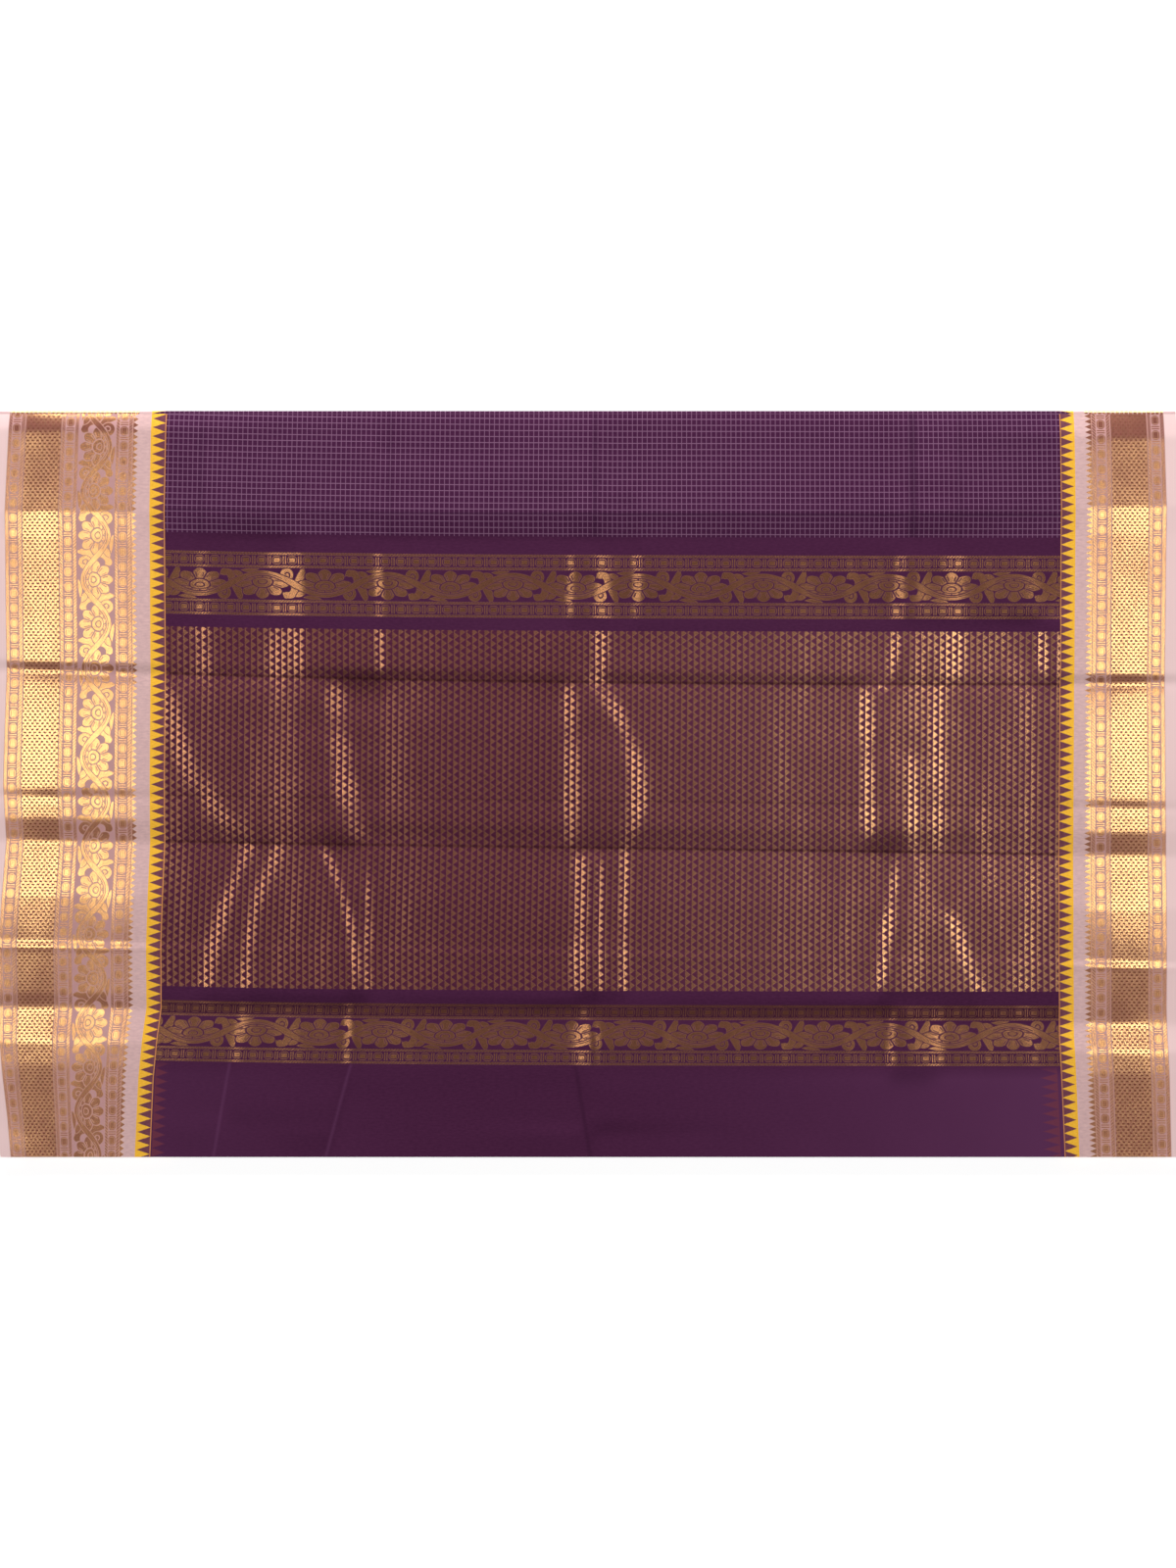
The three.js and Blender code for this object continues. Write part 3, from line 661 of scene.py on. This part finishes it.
for name, node, low, high, base, tip, line in TEMPLE_STRIPS:
    temple_weave, u, v = new_weave(name + "_weave")
    part = (u - base) / (tip - base)
    noise = u.put("ShaderNodeTexNoise", {"noise_dimensions": "1D"}, {"W": v * 0.9, "Scale": 1.0})
    wander = noise * 1.2 - 0.6
    triangle = (1.0 - part) * (TEMPLE_PITCH / 2) - centred(v, TEMPLE_PITCH, TEMPLE_SHIFT).size()
    yellow = (triangle + wander * part).edge(0.5)
    brown = shade_of(TEMPLE_BROWN, TEMPLE_BROWN_DEEP, u, v, 0.8)
    gold = shade_of(TEMPLE_YELLOW, TEMPLE_YELLOW_DEEP, u, v, 0.9)
    cloth = yellow.blend(brown, gold)
    cloth = (0.5 - (u - line).size()).edge(0.5).blend(cloth, TEMPLE_THREAD)
    finish_weave(temple_weave, u, v, cloth)
    temple = woven_piece(name, (low, high), (REAR_SEAM, FRONT))
    temple.data.materials.append(temple_weave)
    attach(temple, "root")
    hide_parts(node)

# The checked body: fine purple cloth with single pale lilac threads, 5 mm apart across and 6 mm along.
# Only its last stretch before the munthi lies on top.
CHECK_ACROSS, CHECK_ALONG, CHECK_SHIFT, CHECK_THREAD = 5.03, 6.19, 2.0, 0.36
CHECK_GROUND, CHECK_GROUND_DEEP = (0.063, 0.011, 0.048, 1), (0.047, 0.007, 0.037, 1)
CHECK_LINE = (0.265, 0.13, 0.225, 1)
CHECKS_END = 251.0
# Painted shade: one crease across it and a few folds along it are drawn darker, as the shade on them. For
# each fold: from and to across the cloth, and how dark.
CHECK_PAINTED_SHADE, CHECK_CREASE = (0.03, 0.005, 0.026, 1), 274.0
CHECK_FOLD_SHADES = (
    (212.0, 215.0, 0.2), (404.0, 407.0, 0.2), (612.0, 616.0, 0.4), (934.0, 942.0, 0.4), (984.0, 987.0, 0.15),
)
check_weave, u, v = new_weave("checked_weave")
ground = shade_of(CHECK_GROUND, CHECK_GROUND_DEEP, u, v, 0.5)
warp_line = (CHECK_THREAD - centred(u, CHECK_ACROSS, CHECK_SHIFT).size()).edge(0.6) * 0.8
weft_line = (CHECK_THREAD - centred(v, CHECK_ALONG).size()).edge(0.6)
checks = (warp_line.most(weft_line) * 0.85).blend(ground, CHECK_LINE)
# Painted shade along the crease and the folds.
painted_shade = (1.2 - (v - CHECK_CREASE).size()).edge(2.0) * 0.45
for low, high, depth in CHECK_FOLD_SHADES:
    painted_shade = painted_shade.most(stripe(u, low, high).edge(6.0) * depth)
finish_weave(check_weave, u, v, painted_shade.blend(checks, CHECK_PAINTED_SHADE))
checked = woven_piece("checked_cloth", (FIELD_FROM, FIELD_TO), (REAR_SEAM, CHECKS_END))
checked.data.materials.append(check_weave)
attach(checked, "root")
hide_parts("checked_field")

# The plain purple stripes between the patterned stretches, and the plain end of the cloth. The end is
# thin enough for the temple edge of the layer under it to show through as faint reddish teeth.
PLAIN, PLAIN_DEEP = (0.066, 0.0125, 0.048, 1), (0.05, 0.008, 0.037, 1)
PLAIN_LIGHT = (0.095, 0.024, 0.078, 1)
GHOST = (0.17, 0.035, 0.05, 1)
# Three old folds run down the end, drawn as painted highlight (two lighter lines) and painted shade (one
# darker line): where each is at the back and at the front, half its width, its colour.
END_FOLD_LIGHT_AND_SHADE = (
    (252.0, 240.0, 1.3, (0.12, 0.035, 0.1, 1)), (374.0, 352.0, 1.3, (0.12, 0.035, 0.1, 1)),
    (600.0, 615.0, 2.0, (0.035, 0.005, 0.026, 1)),
)
END_FROM = -288.0
PLAIN_STRETCHES = (
    # piece, node, from and to along the cloth
    ("upper_stripe_cloth", "munthi_stripe_upper", CHECKS_END, 233.0),
    ("middle_stripe_cloth", "munthi_stripe_middle", 168.0, 155.0),
    ("lower_stripe_cloth", "munthi_stripe_lower", -212.0, -226.0),
    ("end_cloth", "munthi_end", END_FROM, FRONT),
)
# The end's own looks reach to a place beyond its front edge, and it is paler away from its middle.
END_BEYOND = -500.0
PALENESS_MIDDLE, PALENESS_REACH = 520.0, 500.0
# The teeth that show through: base and tip of the triangles across the cloth.
GHOST_TEETH = ((1084.0, 1068.0), (178.0, 190.0))
plain_weave, u, v = new_weave("plain_weave")
plain = shade_of(PLAIN, PLAIN_DEEP, u, v, 0.6)
past_seam = stripe(v, END_BEYOND, END_FROM - 4.0)
from_middle = (u - PALENESS_MIDDLE) / PALENESS_REACH
paleness = from_middle * from_middle * past_seam.edge(20.0)
plain = (paleness * 0.85).blend(plain, PLAIN_LIGHT)
ghost_right, ghost_left = (teeth(u, v, base, tip, TEMPLE_PITCH).edge(1.2) for base, tip in GHOST_TEETH)
ghost = ghost_right.most(ghost_left) * past_seam.edge(8.0) * 0.6
in_end = stripe(v, END_BEYOND, END_FROM - 1.0).edge(2.0)
# Painted highlight and shade along the folds of the end.
for at_back, at_front, half_width, colour in END_FOLD_LIGHT_AND_SHADE:
    fold_run = (v - END_FROM) * ((at_back - at_front) / (END_FROM - FRONT)) + at_back
    plain = ((half_width - (u - fold_run).size()).edge(2.6) * in_end * 0.45).blend(plain, colour)
finish_weave(plain_weave, u, v, ghost.blend(plain, GHOST))
for name, node, back, front in PLAIN_STRETCHES:
    piece = woven_piece(name, (FIELD_FROM, FIELD_TO), (back, front))
    piece.data.materials.append(plain_weave)
    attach(piece, "root")
    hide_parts(node)
    (back - front) / 1000

# The two floral bands of the munthi: metallic weft on the purple ground, a flowering vine between chains of
# roundels, each chain between two ropes.
BAND_TONE = (0.31, 0.148, 0.062, 1)
BAND_CHAIN_PITCH, BAND_CHAIN_SHIFT = 15.77, 6.2
BAND_VINE_REPEAT, BAND_VINE_SHIFT = 63.8, 84.0
BAND_DRAWN_WIDTH, BAND_VINE_MIDDLE = 65.0, 32.4
# Painted shade: the lower one's first chain is drawn darker, as the shade of a crease.
CREASE_PAINTED_SHADE = (0.035, 0.006, 0.009, 1)
BAND_SHADE_FROM, BAND_SHADE_TO = -240.0, -226.0
BANDS = (
    # piece, node, from and to along the cloth
    ("upper_band_cloth", "munthi_band_upper", 233.0, 168.0),
    ("lower_band_cloth", "munthi_band_lower", -226.0, END_FROM),
)
for name, node, back, front in BANDS:
    band_weave, u, v = new_weave(name + "_weave")
    w = (back - 0.3 - v) * (BAND_DRAWN_WIDTH / (back - front))
    vine = flowering_vine(u - BAND_VINE_SHIFT, BAND_VINE_MIDDLE - w, BAND_VINE_REPEAT, 16.0)
    gold = rope(w, u, 0.2, 3.0).most(
        roundel_chain(w, u - BAND_CHAIN_SHIFT, 3.7, 12.7, BAND_CHAIN_PITCH),
        rope(w, u, 13.5, 16.2),
        vine.least(stripe(w, 16.9, 48.2)),
        rope(w, u, 48.8, 51.5),
        roundel_chain(w, u - BAND_CHAIN_SHIFT, 52.3, 61.3, BAND_CHAIN_PITCH),
        rope(w, u, 62.0, 64.8),
    )
    # Painted shade of the crease, on the lower band only.
    painted_shade = stripe(v, BAND_SHADE_FROM, BAND_SHADE_TO).edge(3.0) * 0.5
    ground = painted_shade.blend(shade_of(PLAIN, PLAIN_DEEP, u, v, 0.6), CREASE_PAINTED_SHADE)
    tone = painted_shade.blend(BAND_TONE, CREASE_PAINTED_SHADE)
    finish_weave(band_weave, u, v, ground, (gold - 0.1).edge(0.45), tone)
    band = woven_piece(name, (FIELD_FROM, FIELD_TO), (back, front))
    band.data.materials.append(band_weave)
    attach(band, "root")
    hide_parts(node)
    (back - front) / 1000

# The brocade of the munthi: small triangles of metallic weft in columns, every other column set off by half
# a triangle, with a fine metallic line up the base of each column.
BROCADE_FROM, BROCADE_TO = 155.0, -212.0
BROCADE_COLUMN, BROCADE_ROW, BROCADE_FULLNESS = 6.27, 7.65, 1.22
BROCADE_TONE = (0.35, 0.17, 0.08, 1)
BROCADE_TONE_PAINTED_LIGHT = (0.58, 0.32, 0.14, 1)
BROCADE_GROUND, BROCADE_GROUND_DEEP = (0.085, 0.016, 0.039, 1), (0.06, 0.009, 0.029, 1)
BROCADE_GROUND_PAINTED_LIGHT = (0.12, 0.03, 0.062, 1)
# The sharp creases are drawn as darker lines: painted shade.
BROCADE_CREASE_SHADES = (
    # at the wide edge, in the middle, at the narrow edge, half width, darkness
    (110.0, 103.0, 102.0, 1.3, 0.8),
    (-18.0, -18.0, -26.0, 0.6, 0.6),
    (-64.0, -66.0, -74.0, 1.3, 0.75),
)
# The fine line is broader towards the wide border, and the weave is paler towards the narrow one, as painted
# light for that side's brighter look under the lamps: from where, and over what width.
BROAD_FROM, BROAD_OVER, PAINTED_LIGHT_FROM, PAINTED_LIGHT_OVER = 420.0, 200.0, 560.0, 260.0


def crease_shade_line(across, along, at_wide, at_middle, at_narrow, half_width, darkness):
    """How dark the painted shade of a crease is: a soft line along a parabola through its three places."""
    share = across / CLOTH_WIDTH
    sag = (at_middle - (at_wide + at_narrow) / 2) * 4
    run = share * (at_narrow - at_wide + sag) - share * share * sag + at_wide
    return (half_width - (along - run).size()).edge(1.4) * darkness


brocade_weave, u, v = new_weave("brocade_weave")
column = u.math("FLOOR", u / BROCADE_COLUMN)
part = u / BROCADE_COLUMN - column
up = centred(v + (column % 2.0) * (BROCADE_ROW / 2), BROCADE_ROW).size()
triangle = (1.0 - part * BROCADE_FULLNESS) * (BROCADE_ROW / 2) - up
to_left = ((BROAD_FROM - u) / BROAD_OVER).held()
# Painted light: ground and metallic threads paler towards the narrow border.
painted_light_to_right = ((u - PAINTED_LIGHT_FROM) / PAINTED_LIGHT_OVER).held()
line = 0.22 + to_left * 0.45 - (part * BROCADE_COLUMN - 0.15).size()
ground = shade_of(BROCADE_GROUND, BROCADE_GROUND_DEEP, u, v, 0.6)
ground = (painted_light_to_right * 0.5).blend(ground, BROCADE_GROUND_PAINTED_LIGHT)
tone = painted_light_to_right.blend(BROCADE_TONE, BROCADE_TONE_PAINTED_LIGHT)
# Painted shade along the creases darkens both the ground and the metallic threads.
first, *others = (crease_shade_line(u, v, *crease) for crease in BROCADE_CREASE_SHADES)
painted_shade = first.most(*others)
ground = painted_shade.blend(ground, CREASE_PAINTED_SHADE)
tone = painted_shade.blend(tone, CREASE_PAINTED_SHADE)
finish_weave(brocade_weave, u, v, ground, triangle.most(line).edge(0.5), tone, silk=0.3)
brocade = woven_piece("brocade_cloth", (FIELD_FROM, FIELD_TO), (BROCADE_FROM, BROCADE_TO))
brocade.data.materials.append(brocade_weave)
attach(brocade, "root")
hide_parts("munthi_brocade")

# The narrow border, along the other edge of the cloth: the same ropes, chains and mesh as the wide one,
# without the vine, its teeth pointing into the field.
narrow_weave, u, v = new_weave("narrow_border_weave")
w = CLOTH_WIDTH - u
narrow_gold = rope(w, v, 13.4, 17.2).most(
    roundel_chain(w, v - 1.4, 18.0, 26.6, 15.4, BORDER_RING),
    rope(w, v, 27.2, 30.6, -1.0),
    brick_mesh(w, v, 31.4, 69.2),
    rope(w, v, 70.0, 74.0),
    roundel_chain(w, v + 3.0, 75.0, 84.0, 15.4, BORDER_RING),
    rope(w, v, 84.8, 88.8, -1.0),
    teeth(w, v, 89.6, 96.2, 5.6),
)
narrow_ground = border_ground(w, v, 13.2, 89.5, 31.4, 69.2)
narrow_tone = stripe(w, 31.0, 69.6).edge(0.6).blend(ZARI_DEEP, ZARI_GOLD)
finish_weave(narrow_weave, u, v, narrow_ground, narrow_gold.edge(), narrow_tone, *BORDER_ZARI)
narrow_border = woven_piece("narrow_border_cloth", (NARROW_FROM, CLOTH_WIDTH), (REAR_SEAM, FRONT))
narrow_border.data.materials.append(narrow_weave)
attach(narrow_border, "root")
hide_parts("narrow_border")

# The turn at the back, where the top layer goes round and down into the second one, and the seven layers
# under the top one: one length of cloth folded to and fro, its edges a little uneven.
LAYERS, LAYER_PITCH = 7, 1.5
LAYER_EDGES = (
    # from the table up: how far each layer stands in at the wide border, the narrow border, front and back
    (5, 3, 4, 1), (2, 6, 4, 3), (6, 4, 2, 3), (3, 7, 2, 1), (7, 3, 5, 1), (4, 5, 5, 4), (2, 2, 3, 4),
)
LAYER_ROW_STEP, LAYER_COLUMN_STEP = 25.0, 11.0
LAYER_SHELL = 0.5
# The side edges of the layers rise and fall a little, each in its own turn.
SIDE_WAVE, SIDE_WAVE_LENGTH, SIDE_WAVE_TURN, SIDE_WAVE_REACH = 0.25, 60.0, 2.4, 40.0
# They also stand in unevenly, in a slow wave and a quick one: height and length of each.
SLOW_WANDER, SLOW_LENGTH, SLOW_TURN = 0.8, 97.0, 2.1
QUICK_WANDER, QUICK_LENGTH = 0.5, 41.0
LAYER_MAUVE = (0.6, 0.4, 0.4, 1)
LAYER_TEETH = ((160.4, 175.6), (1103.4, 1088.4))
TURN_STEPS, TURN_THICKNESS, TURN_LENGTH = 14, 0.45, 10.0
folded_weave, u, v = new_weave("folded_weave")
w = CLOTH_WIDTH - u
inner = stripe(u, WIDE_BORDER_WIDTH, NARROW_FROM).edge(1.0)
field = shade_of(CHECK_GROUND, CHECK_GROUND_DEEP, u, v, 0.5)
warp_line = CHECK_THREAD - centred(u, CHECK_ACROSS, CHECK_SHIFT).size()
lines = warp_line.most(CHECK_THREAD - centred(v, CHECK_ALONG).size()).edge(0.6)
field = (lines * 0.7).blend(field, CHECK_LINE)
wide_teeth, narrow_teeth = (teeth(u, v, base, tip, TEMPLE_PITCH) for base, tip in LAYER_TEETH)
yellow = wide_teeth.most(narrow_teeth).edge(0.5)
field = yellow.blend(field, TEMPLE_YELLOW)
wide_zari = stripe(u, 12.7, 148.0).least(stripe(u, 86.0, 125.0).size() - 0.5)
zari = wide_zari.most(stripe(w, 13.4, 96.0)).least(centred(u, 4.66).size() - 0.5)
ground = inner.blend(LAYER_MAUVE, field)
finish_weave(folded_weave, u, v, ground, zari.edge(), ZARI_GOLD, *BORDER_ZARI)


def uneven(row, across, along_side):
    """How far a layer stands in from the top one's edge, wandering by about a millimetre."""
    slow = SLOW_WANDER * np.sin(across / SLOW_LENGTH + row * SLOW_TURN)
    return row + slow + QUICK_WANDER * np.sin(across / QUICK_LENGTH + along_side + row)


columns = round(CLOTH_WIDTH / LAYER_COLUMN_STEP)
across = np.linspace(0, CLOTH_WIDTH, columns)
# The turn starts at the top layer's seam and ends in the plane of the seventh layer.
seam_x, seam_y, seam_z = cloth_face(across, np.full(columns, REAR_SEAM) - weft_bow(across))
top_plane = LAYERS * LAYER_PITCH - TURN_THICKNESS
turn_angle = np.linspace(0, math.pi, TURN_STEPS)[:, None]
half_height = (seam_z - top_plane) / 2
outer_y = seam_y + TURN_REACH * np.sin(turn_angle)
outer_z = seam_z - half_height * (1 - np.cos(turn_angle))
inner_y = seam_y + (TURN_REACH - TURN_THICKNESS) * np.sin(turn_angle)
inner_z = seam_z - SHELL - (half_height - SHELL) * (1 - np.cos(turn_angle))
grid = np.broadcast_to(across, outer_y.shape)
x_grid = np.broadcast_to(seam_x, outer_y.shape)
length = REAR_SEAM + TURN_LENGTH * turn_angle / math.pi + 0 * grid
outer = (x_grid[::-1], outer_y[::-1], outer_z[::-1])
inner = (x_grid[::-1], inner_y[::-1], inner_z[::-1])
rear = closed_sheet("rear_fold_cloth", outer, inner, grid, length[::-1])
rear.data.materials.append(folded_weave)
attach(rear, "root")
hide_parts("rear_fold")

# The seven layers, as one ribbon from the turn down to the table.
path_y, path_z, path_normal_y, path_normal_z, path_layer = [], [], [], [], []
for layer in range(LAYERS, 0, -1):
    z = (layer - 0.5) * LAYER_PITCH
    goes_forward = layer % 2 == 1
    run = np.linspace(1, -1, round(FOLDED_LENGTH / LAYER_ROW_STEP)) * (1 if goes_forward else -1)
    path_y.append(run)
    path_z.append(np.full(len(run), z))
    path_normal_y.append(np.zeros(len(run)))
    path_normal_z.append(np.full(len(run), 1.0 if goes_forward else -1.0))
    path_layer.append(np.full(len(run), layer))
    if layer > 1:
        bend = np.linspace(0, math.pi, 7)[1:-1]
        side = -1 if goes_forward else 1
        path_y.append(np.full(len(bend), float(side)))
        path_z.append(z - LAYER_PITCH / 2 * (1 - np.cos(bend)))
        path_normal_y.append(side * np.sin(bend))
        path_normal_z.append(np.cos(bend) * (1.0 if goes_forward else -1.0))
        path_layer.append(layer - bend / math.pi)
path_y, path_z, path_normal_y, path_normal_z, path_layer = (
    np.concatenate(parts)[:, None] for parts in (path_y, path_z, path_normal_y, path_normal_z, path_layer)
)
edges = np.array(LAYER_EDGES, float)
levels = np.arange(1, LAYERS + 1)
stand_in = [np.interp(path_layer, levels, edges[:, column]) for column in range(4)]
part = across[None, :] / CLOTH_WIDTH
front_y = FRONT + 1.0 + uneven(stand_in[2], across[None, :], 0.0)
back_y = REAR - 1.0 - uneven(stand_in[3], across[None, :], 2.0)
bulge = LAYER_PITCH / 2 * path_normal_y
y = np.where(path_y > 0, back_y, front_y) * np.abs(path_y) + bulge
y = y + (front_y + back_y) / 2 * (1 - np.abs(path_y))
left_x = -CLOTH_WIDTH / 2 + sideways_slide(0 * y, y) + uneven(stand_in[0], y, 1.0)
right_x = CLOTH_WIDTH / 2 + sideways_slide(0 * y + CLOTH_WIDTH, y) - uneven(stand_in[1], y, 3.0)
x = left_x + (right_x - left_x) * part
near_side = np.exp(-np.minimum(part, 1 - part) * CLOTH_WIDTH / SIDE_WAVE_REACH)
side_wave = SIDE_WAVE * np.sin(y / SIDE_WAVE_LENGTH + path_layer * SIDE_WAVE_TURN)
z = path_z + side_wave * near_side * np.clip(path_layer - 1, 0, 1)
thick = LAYER_SHELL / 2
steps = np.concatenate([[0], np.cumsum(np.hypot(np.diff(y[:, 0]), np.diff(path_z[:, 0])))])
along = REAR_SEAM + TURN_LENGTH + steps[:, None] + 0 * x
upper = (x, y + path_normal_y * thick, z + path_normal_z * thick)
lower = (x, y - path_normal_y * thick, z - path_normal_z * thick)
layers = closed_sheet("folded_layers_cloth", upper, lower, np.broadcast_to(across, x.shape), along)
layers.data.materials.append(folded_weave)
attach(layers, "root")
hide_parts("folded_layers")
